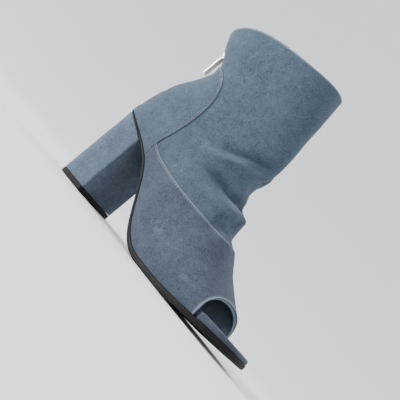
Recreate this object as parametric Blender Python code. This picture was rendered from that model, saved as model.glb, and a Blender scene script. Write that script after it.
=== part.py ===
"""Peep toe ankle boot: soft upper on a footbed and outsole, block heel, zip up the back.

Right shoe. The toe points along +X, the lateral side is -Y, the ground is Z = 0.
"""
import math

import bmesh
import bpy
import numpy as np
from mathutils import Matrix

# Driving sizes in metres
LAST_LENGTH = 0.250
SHAFT_HEIGHT = 0.200
BALL_WIDTH = 0.080
WALL = 0.0018
OVERLAY = 0.0011
GAP = 0.0003
OVERLAY_GAP = 0.0004
SOLE_MARGIN = 0.0022
SEAT_RISE = 0.0050
TOP_PIECE = 0.0045
HEEL_BREAST = 0.0415
HEEL_HALF_WIDTH = 0.0265
HEEL_FRONT_OF_BACK = 0.0008
HEEL_CORNER = 0.0016
BREAST_SLANT = 0.0025
FOOTBED_PLAY = 0.0011
FOOTBED_SHOWN_INSET = 0.0010
FOOTBED_WIDENS_OVER = 0.0042
TIP_HALF = 0.0004
ZIP_SLIT = 0.0080
TAPE_REACH = 0.0075
TAPE_THICKNESS = 0.0008
CHAIN_WIDTH = 0.0052
CHAIN_THICKNESS = 0.0018
SLIDER_LENGTH = 0.0090
SLIDER_WIDTH = 0.0070
SLIDER_THICKNESS = 0.0026
SLIDER_AT = 0.87
CHAIN_START = 6
CHAIN_STOP = 8
LUG_LENGTH = 0.0030
LUG_THICKNESS = 0.0011
LUG_HEIGHT = 0.0036
LUG_SINK = 0.0005
PIN_RADIUS = 0.0006
BARREL_RADIUS = 0.0015
BARREL_WIDTH = 0.0030
PULL_LENGTH = 0.0240
PULL_WIDTH = 0.0058
PULL_THICKNESS = 0.0012

# Sizes worked out from the driving sizes
HALF_BALL = BALL_WIDTH / 2
TOE_TIP = 0.936 * LAST_LENGTH
HEEL_BACK = -0.008 * LAST_LENGTH
HEEL_ROUND_TO = 0.100 * LAST_LENGTH
TOE_ROUND_FROM = 0.784 * LAST_LENGTH

# Mesh counts
UPPER_ROWS = 43
UPPER_COLUMNS = 29
SOLE_STATIONS = 45
SOLE_COLUMNS = 4

# Outline of the outsole: place along the last, lateral half width, medial half width
OUTLINE = (
    (-0.010, 0.680, 0.680),
    (0.096, 0.685, 0.675),
    (0.200, 0.715, 0.655),
    (0.280, 0.740, 0.620),
    (0.360, 0.765, 0.605),
    (0.440, 0.825, 0.650),
    (0.520, 0.915, 0.775),
    (0.600, 0.990, 0.900),
    (0.680, 1.025, 0.990),
    (0.760, 1.000, 1.025),
    (0.840, 0.925, 1.010),
    (0.940, 0.825, 0.950),
)

# Edge where the upper meets the sole: place along the last, height, sole thickness, footbed thickness
FEATHER = (
    (-0.010, 0.400, 0.0012, 0.0030),
    (0.040, 0.388, 0.0012, 0.0030),
    (0.096, 0.365, 0.0012, 0.0030),
    (0.152, 0.3385, 0.0015, 0.0030),
    (0.200, 0.3125, 0.0024, 0.0030),
    (0.240, 0.2835, 0.0029, 0.0030),
    (0.280, 0.240, 0.0030, 0.0031),
    (0.320, 0.184, 0.0031, 0.0032),
    (0.360, 0.1265, 0.0033, 0.0033),
    (0.400, 0.0775, 0.0035, 0.0034),
    (0.440, 0.045, 0.0039, 0.0036),
    (0.480, 0.028, 0.0043, 0.0038),
    (0.520, 0.023, 0.0046, 0.0041),
    (0.610, 0.023, 0.0046, 0.0048),
    (0.680, 0.029, 0.0047, 0.0057),
    (0.760, 0.0415, 0.0047, 0.0067),
    (0.840, 0.0555, 0.0046, 0.0058),
    (0.944, 0.073, 0.0044, 0.0028),
)

# Upper sections from the toe opening to the collar, each in a plane from a dorsal point to a tail point:
# dorsal place and height, tail place and height, half width, widest share, front and tail power, lift
SECTIONS = (
    (0.774, 0.173, 0.784, 0.040, 0.950, 0.28, 2.20, 2.0, 0.000),
    (0.712, 0.222, 0.736, 0.031, 0.985, 0.26, 2.20, 2.0, 0.000),
    (0.664, 0.266, 0.684, 0.024, 1.010, 0.22, 2.15, 2.0, 0.000),
    (0.616, 0.328, 0.620, 0.018, 0.985, 0.22, 2.10, 2.0, 0.000),
    (0.574, 0.366, 0.544, 0.016, 0.930, 0.24, 2.10, 2.0, 0.000),
    (0.570, 0.418, 0.468, 0.028, 0.870, 0.26, 2.15, 2.0, 0.000),
    (0.538, 0.478, 0.392, 0.083, 0.830, 0.28, 2.15, 2.0, 0.000),
    (0.506, 0.538, 0.316, 0.185, 0.800, 0.30, 2.15, 2.0, 0.000),
    (0.504, 0.588, 0.244, 0.276, 0.785, 0.31, 2.15, 2.0, 0.000),
    (0.520, 0.636, 0.172, 0.326, 0.780, 0.32, 2.15, 2.0, 0.000),
    (0.522, 0.684, 0.098, 0.364, 0.780, 0.34, 2.15, 2.0, 0.000),
    (0.520, 0.712, 0.026, 0.390, 0.780, 0.36, 2.15, 2.0, 0.000),
    (0.518, 0.734, 0.0008, 0.397, 0.780, 0.37, 2.15, 2.0, 0.000),
    (0.516, 0.752, 0.0008, 0.425, 0.780, 0.37, 2.15, 2.0, 0.000),
    (0.510, 0.790, 0.010, 0.500, 0.775, 0.37, 2.15, 2.0, 0.000),
    (0.502, 0.835, 0.042, 0.590, 0.765, 0.37, 2.15, 2.0, 0.000),
    (0.496, 0.876, 0.082, 0.674, 0.760, 0.38, 2.15, 2.0, 0.000),
    (0.490, 0.920, 0.106, 0.748, 0.775, 0.38, 2.15, 2.1, 0.003),
    (0.482, 0.966, 0.092, 0.802, 0.815, 0.36, 2.20, 2.3, 0.014),
    (0.474, 1.012, 0.060, 0.850, 0.860, 0.33, 2.25, 2.5, 0.030),
    (0.466, 1.060, 0.036, 0.900, 0.900, 0.30, 2.30, 2.6, 0.046),
)
BACK_SEAM_FROM = 12
ZIP_FROM = 14.4
ZIP_OPENS_OVER = 0.4

# Seam outlines seen from the side: place along the last, height
VAMP_SEAM = (
    (0.2235, 0.366),
    (0.244, 0.356),
    (0.288, 0.338),
    (0.400, 0.320),
    (0.520, 0.315),
    (0.600, 0.318),
    (0.640, 0.335),
)
COUNTER_SEAM = (
    (0.060, 0.785),
    (0.110, 0.782),
    (0.165, 0.765),
    (0.215, 0.718),
    (0.242, 0.640),
    (0.247, 0.540),
    (0.236, 0.440),
    (0.2205, 0.370),
    (0.2165, 0.240),
)

# Materials: colour, roughness, metallic
MATERIALS = {
    "upper_suede": ((0.105, 0.135, 0.175), 0.92, 0.0),
    "counter_suede": ((0.105, 0.135, 0.175), 0.92, 0.0),
    "vamp_suede": ((0.105, 0.135, 0.175), 0.92, 0.0),
    "footbed_suede": ((0.110, 0.140, 0.180), 0.90, 0.0),
    "heel_suede": ((0.100, 0.128, 0.166), 0.92, 0.0),
    "outsole_rubber": ((0.012, 0.012, 0.014), 0.55, 0.0),
    "top_piece_rubber": ((0.010, 0.010, 0.011), 0.60, 0.0),
    "zip_tape_cloth": ((0.050, 0.060, 0.075), 0.85, 0.0),
    "zip_chain_metal": ((0.060, 0.065, 0.075), 0.40, 0.6),
    "zip_slider_metal": ((0.300, 0.310, 0.330), 0.35, 1.0),
    "zip_pull_metal": ((0.300, 0.310, 0.330), 0.32, 1.0),
}


def smooth(places, values, at):
    """Monotone cubic interpolation through hand-placed values."""
    x = np.asarray(places, float)
    y = np.asarray(values, float)
    at = np.clip(np.asarray(at, float), x[0], x[-1])
    step = np.diff(x)
    slope = np.diff(y) / step
    tangent = np.zeros_like(y)
    tangent[0] = slope[0]
    tangent[-1] = slope[-1]
    same = slope[:-1] * slope[1:] > 0
    left = 2 * step[1:] + step[:-1]
    right = step[1:] + 2 * step[:-1]
    safe_low = np.where(same, slope[:-1], 1.0)
    safe_high = np.where(same, slope[1:], 1.0)
    tangent[1:-1] = np.where(same, (left + right) / (left / safe_low + right / safe_high), 0.0)
    cell = np.clip(np.searchsorted(x, at, side="right") - 1, 0, len(step) - 1)
    u = (at - x[cell]) / step[cell]
    keep = y[cell] * (1 + 2 * u) * (1 - u) ** 2 + y[cell + 1] * u ** 2 * (3 - 2 * u)
    turn = tangent[cell] * u * (1 - u) ** 2 - tangent[cell + 1] * u ** 2 * (1 - u)
    return keep + turn * step[cell]


def column(table, index):
    return [row[index] for row in table]


def feather_height(x):
    return SHAFT_HEIGHT * smooth(column(FEATHER, 0), column(FEATHER, 1), np.asarray(x) / LAST_LENGTH)


def sole_thickness(x):
    return smooth(column(FEATHER, 0), column(FEATHER, 2), np.asarray(x) / LAST_LENGTH)


def footbed_thickness(x):
    return smooth(column(FEATHER, 0), column(FEATHER, 3), np.asarray(x) / LAST_LENGTH)


def outline_half(x, side, inset):
    """Half width of the outline at x, for side -1 (lateral) or +1 (medial)."""
    x = np.asarray(x, float)
    index = 1 if side < 0 else 2
    body = HALF_BALL * smooth(column(OUTLINE, 0), column(OUTLINE, index), x / LAST_LENGTH) - inset
    back = np.clip((HEEL_ROUND_TO - x) / (HEEL_ROUND_TO - HEEL_BACK - inset), 0, 1)
    front = np.clip((x - TOE_ROUND_FROM) / (TOE_TIP - inset - TOE_ROUND_FROM), 0, 1)
    return body * np.sqrt(1 - back ** 2) * (1 - front ** 2.5) ** 0.4


def section_curve(k, count):
    """Points of upper section k, from the lateral tail over the dorsal line to the medial tail."""
    rows = range(len(SECTIONS))
    value = [float(smooth(rows, column(SECTIONS, i), k)) for i in range(9)]
    dorsal = np.array([value[0] * LAST_LENGTH, value[1] * SHAFT_HEIGHT])
    tail_x = value[2] * LAST_LENGTH
    if k <= BACK_SEAM_FROM:
        tail = np.array([tail_x, float(feather_height(tail_x)) + GAP])
    else:
        tail = np.array([tail_x, value[3] * SHAFT_HEIGHT])
        seat = float(feather_height(tail_x)) + GAP
        tail[1] = max(tail[1], seat)
    half = value[4] * HALF_BALL
    widest = value[5]
    points = {}
    for side in (-1, 1):
        if k < BACK_SEAM_FROM:
            end = float(outline_half(tail_x, side, SOLE_MARGIN))
        else:
            end = ZIP_SLIT / 2 * min(max((k - ZIP_FROM) / ZIP_OPENS_OVER, 0), 1)
        wide = max(half, end)
        angle = np.linspace(0, math.pi / 2, 40)
        front_q = widest + (1 - widest) * np.cos(angle) ** (2 / value[6])
        front_y = wide * np.sin(angle) ** (2 / value[6])
        open_share = min(end / HEEL_HALF_WIDTH, 1) if k < BACK_SEAM_FROM else 0.0
        closing = value[7] - (value[7] - 1) * open_share
        tail_q = widest - widest * np.sin(angle)
        tail_y = end + (wide - end) * (1 - np.sin(angle) ** value[7]) ** (1 / closing)
        q = np.concatenate([front_q, tail_q[1:]])
        y = side * np.concatenate([front_y, tail_y[1:]])
        share = 1 - q
        flat = tail + np.outer(q, dorsal - tail)
        bump = np.sin(math.pi * np.clip(share, 0, 1) ** 1.9) ** 0.8
        flat[:, 1] += value[8] * SHAFT_HEIGHT * bump
        above_seat = (1 - np.exp(-q / 0.035)) * share ** 2
        flat[:, 1] += SEAT_RISE * max(1 - abs(k - BACK_SEAM_FROM) / 2, 0) * above_seat
        curve = np.column_stack([flat[:, 0], y, flat[:, 1]])
        length = np.concatenate([[0], np.cumsum(np.linalg.norm(np.diff(curve, axis=0), axis=1))])
        even = np.linspace(0, length[-1], count // 2 + 1)
        points[side] = np.column_stack([np.interp(even, length, curve[:, i]) for i in range(3)])
    return np.vstack([points[-1][::-1], points[1][1:]])


def section_places(count):
    """Section numbers of the rows, with the heel back and the foot of the zip on rows of their own."""
    seat = BACK_SEAM_FROM - 2
    foot = np.linspace(0, seat, int(round(count * 0.48)))
    heel = np.linspace(seat, BACK_SEAM_FROM, int(round(count * 0.18)))[1:]
    back = np.linspace(BACK_SEAM_FROM, ZIP_FROM, int(round(count * 0.12)))[1:]
    rest = count - len(foot) - len(heel) - len(back)
    return np.concatenate([foot, heel, back, np.linspace(ZIP_FROM, len(SECTIONS) - 1, rest + 1)[1:]])


def upper_grid(rows, columns):
    return np.array([section_curve(k, columns) for k in section_places(rows)])


def above_sole(points):
    """The same points, none of them lower than the edge of the sole."""
    raised = points.copy()
    raised[..., 2] = np.maximum(points[..., 2], feather_height(points[..., 0]) + GAP)
    return raised


def grid_normals(grid):
    """Outward normals of a grid, level along the sole and alike on both sides of the back seam."""
    a, b = grid[:-1, :-1], grid[:-1, 1:]
    c, d = grid[1:, 1:], grid[1:, :-1]
    first = np.cross(b - a, c - a)
    second = np.cross(c - a, d - a)
    normal = np.zeros_like(grid)
    normal[:-1, :-1] += first + second
    normal[:-1, 1:] += first
    normal[1:, 1:] += first + second
    normal[1:, :-1] += second
    normal /= np.maximum(np.linalg.norm(normal, axis=2, keepdims=True), 1e-12)
    for _ in range(2):
        wide = np.pad(normal, ((1, 1), (1, 1), (0, 0)), mode="edge")
        around = wide[:-2, 1:-1] + wide[2:, 1:-1] + wide[1:-1, :-2] + wide[1:-1, 2:]
        normal = 0.5 * normal + 0.125 * around
    places = section_places(len(grid))
    seat = places <= BACK_SEAM_FROM
    normal[seat, 0, 2] = 0
    normal[seat, -1, 2] = 0
    closed = np.linalg.norm(grid[:, 0] - grid[:, -1], axis=1) < 1e-6
    back = (normal[closed, 0] + normal[closed, -1]) * (1, 0, 1)
    normal[closed, 0] = back
    normal[closed, -1] = back
    return normal / np.maximum(np.linalg.norm(normal, axis=2, keepdims=True), 1e-12)


def material(name):
    colour, roughness, metallic = MATERIALS[name]
    made = bpy.data.materials.new(name)
    made.use_nodes = True
    shader = made.node_tree.nodes["Principled BSDF"]
    shader.inputs["Base Color"].default_value = (*colour, 1.0)
    shader.inputs["Roughness"].default_value = roughness
    shader.inputs["Metallic"].default_value = metallic
    made.diffuse_color = (*colour, 1.0)
    return made


def make_object(name, points, faces, material_name, round_angle=35.0, origin=(0, 0, 0)):
    """One closed object, welded, with its faces pointing out and round parts shaded smooth."""
    mesh = bpy.data.meshes.new(name)
    work = bmesh.new()
    made = [work.verts.new(np.asarray(p, float) - np.asarray(origin, float)) for p in points]
    for face in faces:
        corners = []
        for i in face:
            if made[i] not in corners:
                corners.append(made[i])
        if len(corners) > 2:
            work.faces.new(corners)
    bmesh.ops.remove_doubles(work, verts=work.verts, dist=1e-6)
    bmesh.ops.dissolve_degenerate(work, edges=work.edges, dist=1e-7)
    bmesh.ops.recalc_face_normals(work, faces=work.faces)
    work.to_mesh(mesh)
    work.free()
    mesh.materials.append(material(material_name))
    mesh.shade_smooth()
    mesh.set_sharp_from_angle(angle=math.radians(round_angle))
    item = bpy.data.objects.new(name, mesh)
    item.location = origin
    bpy.context.scene.collection.objects.link(item)
    return item


def shell(name, outer, inner, material_name):
    """A wall between two grids, closed round all four edges."""
    rows, columns = outer.shape[:2]
    points = np.vstack([outer.reshape(-1, 3), inner.reshape(-1, 3)])
    size = rows * columns

    def number(i, j, layer):
        return layer * size + i * columns + j

    faces = []
    for i in range(rows - 1):
        for j in range(columns - 1):
            for layer in (0, 1):
                low, side = number(i, j, layer), number(i, j + 1, layer)
                up, far = number(i + 1, j, layer), number(i + 1, j + 1, layer)
                faces.append([low, side, far])
                faces.append([low, far, up])
    for i in (0, rows - 1):
        for j in range(columns - 1):
            faces.append([number(i, j, 0), number(i, j + 1, 0), number(i, j + 1, 1), number(i, j, 1)])
    closed = np.linalg.norm(outer[:, 0] - outer[:, -1], axis=1) < 1e-6
    for i in range(rows - 1):
        if closed[i] and closed[i + 1]:
            continue
        for j in (0, columns - 1):
            faces.append([number(i, j, 0), number(i + 1, j, 0), number(i + 1, j, 1), number(i, j, 1)])
    return make_object(name, points, faces, material_name, 45.0)


def plate(name, stations, half, low, high, material_name, slant=0.0, round_angle=40.0):
    """A body between two heights, wide as the given half widths, that follows the sole along its length."""
    ring = []
    for x in stations:
        lateral = -float(half(x, -1))
        medial = float(half(x, 1))
        turned = slant * np.clip(x / stations[-1], 0, 1)
        across = np.linspace(lateral, medial, SOLE_COLUMNS)
        ring.append([(x + turned * y / HEEL_HALF_WIDTH, y) for y in across])
    points = []
    for height in (low, high):
        for station in ring:
            points += [(x, y, float(height(x))) for x, y in station]
    columns = SOLE_COLUMNS
    size = len(ring) * columns
    faces = []
    for layer in range(2):
        for i in range(len(ring) - 1):
            for j in range(columns - 1):
                a = layer * size + i * columns + j
                faces.append([a, a + 1, a + columns + 1, a + columns])
    for i in range(len(ring) - 1):
        for j in (0, columns - 1):
            a = i * columns + j
            faces.append([a, a + columns, a + columns + size, a + size])
    for i in (0, len(ring) - 1):
        for j in range(columns - 1):
            a = i * columns + j
            faces.append([a, a + 1, a + 1 + size, a + size])
    return make_object(name, points, faces, material_name, round_angle)


def sole_stations(inset, count):
    """Places along the sole, closer together round the heel back and the toe."""
    start = HEEL_BACK + inset
    end = TOE_TIP - inset
    share = np.linspace(0, math.pi, count)
    even = (1 - np.cos(share)) / 2
    mixed = 0.85 * even + 0.15 * np.linspace(0, 1, count)
    return start + (end - start) * mixed


def outsole():
    def half(x, side):
        return max(float(outline_half(x, side, 0.0)), TIP_HALF)

    def low(x):
        return feather_height(x) - sole_thickness(x)

    return plate("outsole", sole_stations(0.0, SOLE_STATIONS), half, low, feather_height, "outsole_rubber")


def footbed_inset(x):
    """Inside the wall under the upper, and nearly as wide as the sole ahead of the opening."""
    inside = SOLE_MARGIN + WALL + FOOTBED_PLAY
    start = SECTIONS[0][2] * LAST_LENGTH + GAP
    share = np.clip((x - start) / FOOTBED_WIDENS_OVER, 0, 1)
    return inside + (FOOTBED_SHOWN_INSET - inside) * share


def footbed():
    start = HEEL_BACK + float(footbed_inset(0.0))
    end = TOE_TIP - float(footbed_inset(TOE_TIP))
    places = sole_stations(0.0, SOLE_STATIONS)
    stations = start + (end - start) * (places - places[0]) / (places[-1] - places[0])

    def half(x, side):
        return max(float(outline_half(x, side, float(footbed_inset(x)))), TIP_HALF)

    def low(x):
        return feather_height(x) + GAP

    def high(x):
        return feather_height(x) + GAP + footbed_thickness(x)

    return plate("footbed", stations, half, low, high, "footbed_suede")


def heel_half(x, side):
    """Half width of the heel: round at the back, small rounded corners at the breast."""
    back = np.clip((HEEL_ROUND_TO - x) / (HEEL_ROUND_TO - HEEL_FRONT_OF_BACK), 0, 1)
    corner = np.clip((x - HEEL_BREAST + HEEL_CORNER) / HEEL_CORNER, 0, 1)
    round_back = (1 - back ** 2.3) ** (1 / 2.3)
    corner_cut = HEEL_CORNER * (1 - math.sqrt(1 - corner ** 2))
    return max(float(HEEL_HALF_WIDTH * round_back - corner_cut), TIP_HALF)


def heel_stations():
    turn = 1 - np.cos(np.linspace(0, math.pi / 2, 13))
    back = HEEL_FRONT_OF_BACK + (HEEL_ROUND_TO - HEEL_FRONT_OF_BACK) * turn
    front = np.linspace(HEEL_ROUND_TO, HEEL_BREAST - HEEL_CORNER, 4)[1:]
    corner = HEEL_BREAST - HEEL_CORNER * (1 - np.sin(np.linspace(0, math.pi / 2, 4)))[1:]
    return np.concatenate([back, front, corner])


def heel_block():
    def low(x):
        return TOP_PIECE + GAP

    def high(x):
        return feather_height(x) - sole_thickness(x) - GAP

    return plate("heel_block", heel_stations(), heel_half, low, high, "heel_suede", BREAST_SLANT, 30.0)


def heel_top_piece():
    def low(x):
        return 0.0

    def high(x):
        return TOP_PIECE

    stations = heel_stations()
    return plate("heel_top_piece", stations, heel_half, low, high, "top_piece_rubber", BREAST_SLANT, 30.0)


def overlay(name, grid, normals, outline, material_name):
    """A layer on the upper, cut to an outline seen from the side."""
    outer = above_sole(grid + normals * (OVERLAY_GAP + OVERLAY))
    inner = above_sole(grid + normals * OVERLAY_GAP)
    layer = shell(name, outer, inner, material_name)
    points = []
    for y in (-BALL_WIDTH, BALL_WIDTH):
        points += [(x * LAST_LENGTH, y, z * SHAFT_HEIGHT) for x, z in outline]
    count = len(outline)
    faces = [list(range(count)), list(range(count, 2 * count))]
    for i in range(count):
        j = (i + 1) % count
        faces.append([i, j, j + count, i + count])
    cutter = make_object(name + "_cutter", points, faces, material_name)
    cutter.hide_render = True
    cutter.display_type = "WIRE"
    keep = layer.modifiers.new("side outline", "BOOLEAN")
    keep.operation = "INTERSECT"
    keep.solver = "EXACT"
    keep.object = cutter
    return layer


def vamp(grid, normals):
    outline = list(VAMP_SEAM)
    outline += [(0.660, 0.420), (1.000, 0.420), (1.000, -0.050), (0.2195, -0.050), (0.2195, 0.240)]
    return overlay("vamp", grid, normals, outline, "vamp_suede")


def counter(grid, normals):
    outline = list(COUNTER_SEAM)
    outline += [(0.2165, -0.050), (-0.200, -0.050), (-0.200, 0.785)]
    return overlay("counter", grid, normals, outline, "counter_suede")


def back_line(count):
    """The centre back from the foot of the zip to the notch under the collar."""
    ks = np.linspace(ZIP_FROM, len(SECTIONS) - 1, count)
    rows = range(len(SECTIONS))
    x = LAST_LENGTH * smooth(rows, column(SECTIONS, 2), ks)
    z = SHAFT_HEIGHT * smooth(rows, column(SECTIONS, 3), ks)
    return np.column_stack([x, np.zeros(count), z])


def line_frame(line):
    """Directions along a line in the side view, and out of its back."""
    along = np.gradient(line, axis=0)
    along /= np.linalg.norm(along, axis=1, keepdims=True)
    out = np.column_stack([-along[:, 2], np.zeros(len(line)), along[:, 0]])
    return along, out


def ribbon(name, line, out, near, far, width, material_name):
    """A strip along a line, between two distances out of it."""
    loops = []
    for p, o in zip(line, out):
        corners = ((-width / 2, near), (width / 2, near), (width / 2, far), (-width / 2, far))
        loops.append([p + o * d + np.array([0, y, 0]) for y, d in corners])
    return tube(name, loops, material_name)


def tube(name, loops, material_name):
    """A body through matching loops of points, closed at both ends."""
    size = len(loops[0])
    points = [p for loop in loops for p in loop]
    last = (len(loops) - 1) * size
    faces = [list(range(size)), [last + i for i in range(size)]]
    for i in range(len(loops) - 1):
        for j in range(size):
            a = size * i + j
            b = size * i + (j + 1) % size
            faces.append([a, b, b + size, a + size])
    return make_object(name, points, faces, material_name)


def zip_tape(grid, normals):
    """The tape behind the slit, lying on the inside of the shaft on both sides."""
    places = section_places(len(grid))
    loops = []
    for i in np.flatnonzero(places >= ZIP_FROM - 0.01):
        front = []
        back = []
        for end, near in ((0, 1), (-1, -2)):
            step = grid[i, near] - grid[i, end]
            share = min(TAPE_REACH / np.linalg.norm(step), 0.9)
            edge = grid[i, end] + step * share
            out = normals[i, end] + (normals[i, near] - normals[i, end]) * share
            pair = [(edge, out), (grid[i, end], normals[i, end])]
            if end == -1:
                pair.reverse()
            for point, direction in pair:
                front.append(point - direction * (WALL + 2 * GAP))
                back.append(point - direction * (WALL + 2 * GAP + TAPE_THICKNESS))
        loops.append(front + back[::-1])
    return tube("zip_tape", loops, "zip_tape_cloth")


def block(name, centre, size, along, out, material_name):
    """A box with its length along one direction and its thickness along another."""
    across = np.cross(out, along)
    points = []
    for u in (-0.5, 0.5):
        for v, w in ((-0.5, -0.5), (0.5, -0.5), (0.5, 0.5), (-0.5, 0.5)):
            points.append(centre + along * u * size[0] + across * v * size[1] + out * w * size[2])
    faces = [[0, 1, 2, 3], [4, 5, 6, 7]] + [[i, (i + 1) % 4, (i + 1) % 4 + 4, i + 4] for i in range(4)]
    return make_object(name, points, faces, material_name)


def rod(name, centre, radius, length, material_name, sides=20):
    """A round rod along Y."""
    angle = np.linspace(0, 2 * math.pi, sides, endpoint=False)
    loops = []
    for y in (-length / 2, length / 2):
        loops.append([centre + np.array([radius * math.cos(a), y, radius * math.sin(a)]) for a in angle])
    return tube(name, loops, material_name)


def join(item, other, operation):
    """Add one object to another, or cut it away, and leave it out of the render."""
    other.name = item.name + "_cutter"
    other.hide_render = True
    other.display_type = "WIRE"
    step = item.modifiers.new(operation.lower(), "BOOLEAN")
    step.operation = operation
    step.solver = "EXACT"
    step.object = other


def zip_slider_and_pull():
    """The slider at the top of the closed zip, and the pull tab that hangs from its pin."""
    line = back_line(61)
    along, out = line_frame(line)
    at = int(round(SLIDER_AT * 60))
    p, a, o = line[at], along[at], out[at]
    metal = "zip_slider_metal"
    body_low = GAP - WALL
    centre = p + o * (body_low + SLIDER_THICKNESS / 2)
    slider = block("zip_slider", centre, (SLIDER_LENGTH, SLIDER_WIDTH, SLIDER_THICKNESS), a, o, metal)
    pin_out = body_low + SLIDER_THICKNESS + LUG_HEIGHT - LUG_LENGTH / 2
    pin = p + o * pin_out
    lug_y = BARREL_WIDTH / 2 + GAP + LUG_THICKNESS / 2
    lug_out = body_low + SLIDER_THICKNESS + LUG_HEIGHT / 2 - LUG_SINK / 2
    for side in (-1, 1):
        spot = p + o * lug_out + np.array([0, side * lug_y, 0])
        size = (LUG_LENGTH, LUG_THICKNESS, LUG_HEIGHT + LUG_SINK)
        join(slider, block("lug", spot, size, a, o, metal), "UNION")
    join(slider, rod("pin", pin, PIN_RADIUS, 2 * lug_y, metal), "UNION")

    down = np.array([0, 0, -1.0])
    back = np.array([-1.0, 0, 0])
    pull = rod("zip_pull", np.zeros(3), BARREL_RADIUS, BARREL_WIDTH, "zip_pull_metal")
    neck_length = LUG_LENGTH + 2 * GAP
    neck = block("neck", down * (neck_length / 2 + BARREL_RADIUS * 0.7),
                 (neck_length, BARREL_WIDTH, PULL_THICKNESS), down, back, "zip_pull_metal")
    tab_top = BARREL_RADIUS * 0.7 + neck_length - LUG_SINK
    tab_size = (PULL_LENGTH - tab_top, PULL_WIDTH, PULL_THICKNESS)
    tab = block("tab", down * (tab_top + PULL_LENGTH) / 2, tab_size, down, back, "zip_pull_metal")
    join(pull, neck, "UNION")
    join(pull, tab, "UNION")
    hole = rod("hole", np.zeros(3), PIN_RADIUS + GAP, 2 * BARREL_WIDTH, "zip_pull_metal")
    join(pull, hole, "DIFFERENCE")
    for item in [pull] + [m.object for m in pull.modifiers]:
        item.location = pin


def place_on_origin():
    """Move everything so that the middle of the heel's ground face is at the origin."""
    shift = -(HEEL_FRONT_OF_BACK + HEEL_BREAST) / 2
    for item in bpy.data.objects:
        if item.location.length > 0:
            item.location.x += shift
        else:
            item.data.transform(Matrix.Translation((shift, 0, 0)))


def build():
    for item in list(bpy.data.objects):
        bpy.data.objects.remove(item, do_unlink=True)
    grid = upper_grid(UPPER_ROWS, UPPER_COLUMNS)
    normals = grid_normals(grid)
    shell("upper", grid, above_sole(grid - normals * WALL), "upper_suede")
    vamp(grid, normals)
    counter(grid, normals)
    outsole()
    footbed()
    heel_block()
    heel_top_piece()
    zip_tape(grid, normals)
    line = back_line(61)
    out = line_frame(line)[1]
    chain_end = int(round(SLIDER_AT * 60)) - CHAIN_STOP
    chain = slice(CHAIN_START, chain_end)
    inside = -WALL - GAP / 2
    ribbon("zip_chain", line[chain][::3], out[chain][::3], inside, inside + CHAIN_THICKNESS, CHAIN_WIDTH,
           "zip_chain_metal")
    zip_slider_and_pull()
    place_on_origin()


build()
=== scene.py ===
"""Dress the peep toe ankle boot: suede, seams, creases, lining, zip and sole, on a pale stage."""
import math

import bmesh
import bpy
import numpy as np
from bpy.props import FloatProperty, FloatVectorProperty, PointerProperty
from bpy.types import Operator, Panel, PropertyGroup
from mathutils import Matrix, Vector
from mathutils.bvhtree import BVHTree
from mathutils.kdtree import KDTree


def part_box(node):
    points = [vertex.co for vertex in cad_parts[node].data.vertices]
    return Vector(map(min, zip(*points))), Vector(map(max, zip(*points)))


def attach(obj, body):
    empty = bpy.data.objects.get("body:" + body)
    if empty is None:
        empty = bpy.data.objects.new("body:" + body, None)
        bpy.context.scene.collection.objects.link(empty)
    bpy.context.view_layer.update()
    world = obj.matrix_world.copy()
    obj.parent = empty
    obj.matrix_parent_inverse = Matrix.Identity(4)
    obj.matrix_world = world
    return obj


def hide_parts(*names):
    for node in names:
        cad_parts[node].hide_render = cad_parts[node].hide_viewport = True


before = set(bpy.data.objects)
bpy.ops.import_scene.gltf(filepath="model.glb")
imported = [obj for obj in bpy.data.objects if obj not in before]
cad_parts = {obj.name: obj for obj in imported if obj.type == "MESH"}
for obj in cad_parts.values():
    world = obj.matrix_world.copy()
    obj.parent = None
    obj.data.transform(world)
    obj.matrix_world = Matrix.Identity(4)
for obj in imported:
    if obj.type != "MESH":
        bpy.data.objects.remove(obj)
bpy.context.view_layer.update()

bl_info = {
    "name": "Peep toe ankle boot",
    "version": (1, 0, 0),
    "blender": (4, 5, 0),
    "location": "View3D > Sidebar > Boot",
    "description": "Builds the dressed ankle boot, piece by piece, around its frame",
    "category": "Object",
}

BOOT = "boot"

# Sizes of the last and of the walls, in metres, as in the frame
LAST_LENGTH = 0.250
SHAFT_HEIGHT = 0.200
HALF_BALL = 0.040
WALL = 0.0018
OVERLAY = 0.0011
GAP = 0.0003
OVERLAY_GAP = 0.0004
SOLE_MARGIN = 0.0022
SEAT_RISE = 0.0050
HEEL_HALF_WIDTH = 0.0265
HEEL_FRONT_OF_BACK = 0.0008
HEEL_BREAST = 0.0415
HEEL_CORNER = 0.0016
BREAST_SLANT = 0.0025
TOP_PIECE = 0.0045
ZIP_SLIT = 0.0080
TOE_TIP = 0.936 * LAST_LENGTH
HEEL_BACK = -0.008 * LAST_LENGTH
HEEL_ROUND_TO = 0.100 * LAST_LENGTH
TOE_ROUND_FROM = 0.784 * LAST_LENGTH
ORIGIN_X = (HEEL_FRONT_OF_BACK + HEEL_BREAST) / 2
FOOTBED_PLAY = 0.0011
FOOTBED_SHOWN_INSET = 0.0010
FOOTBED_WIDENS_FROM = 0.0005
FOOTBED_WIDENS_OVER = 0.0040

# Roundness of the toe and the heel, of the collar's rise over the side, and how soon the seat's rise begins
TOE_POWER = 2.5
HEEL_POWER = 2.3
COLLAR_PEAK = 1.9
COLLAR_ROUNDNESS = 0.8
SEAT_FADE = 0.035

# Share of the surface's rows on the foot, the heel and the back below the zip, and of the sole's even steps
ROW_SHARES = (0.48, 0.18, 0.12)
EVEN_SHARE = 0.03

# Section numbers where the back seam and the zip begin, and over which the slit of the zip opens
BACK_SEAM_FROM = 12
ZIP_FROM = 14.4
ZIP_OPENS_OVER = 0.4

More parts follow.
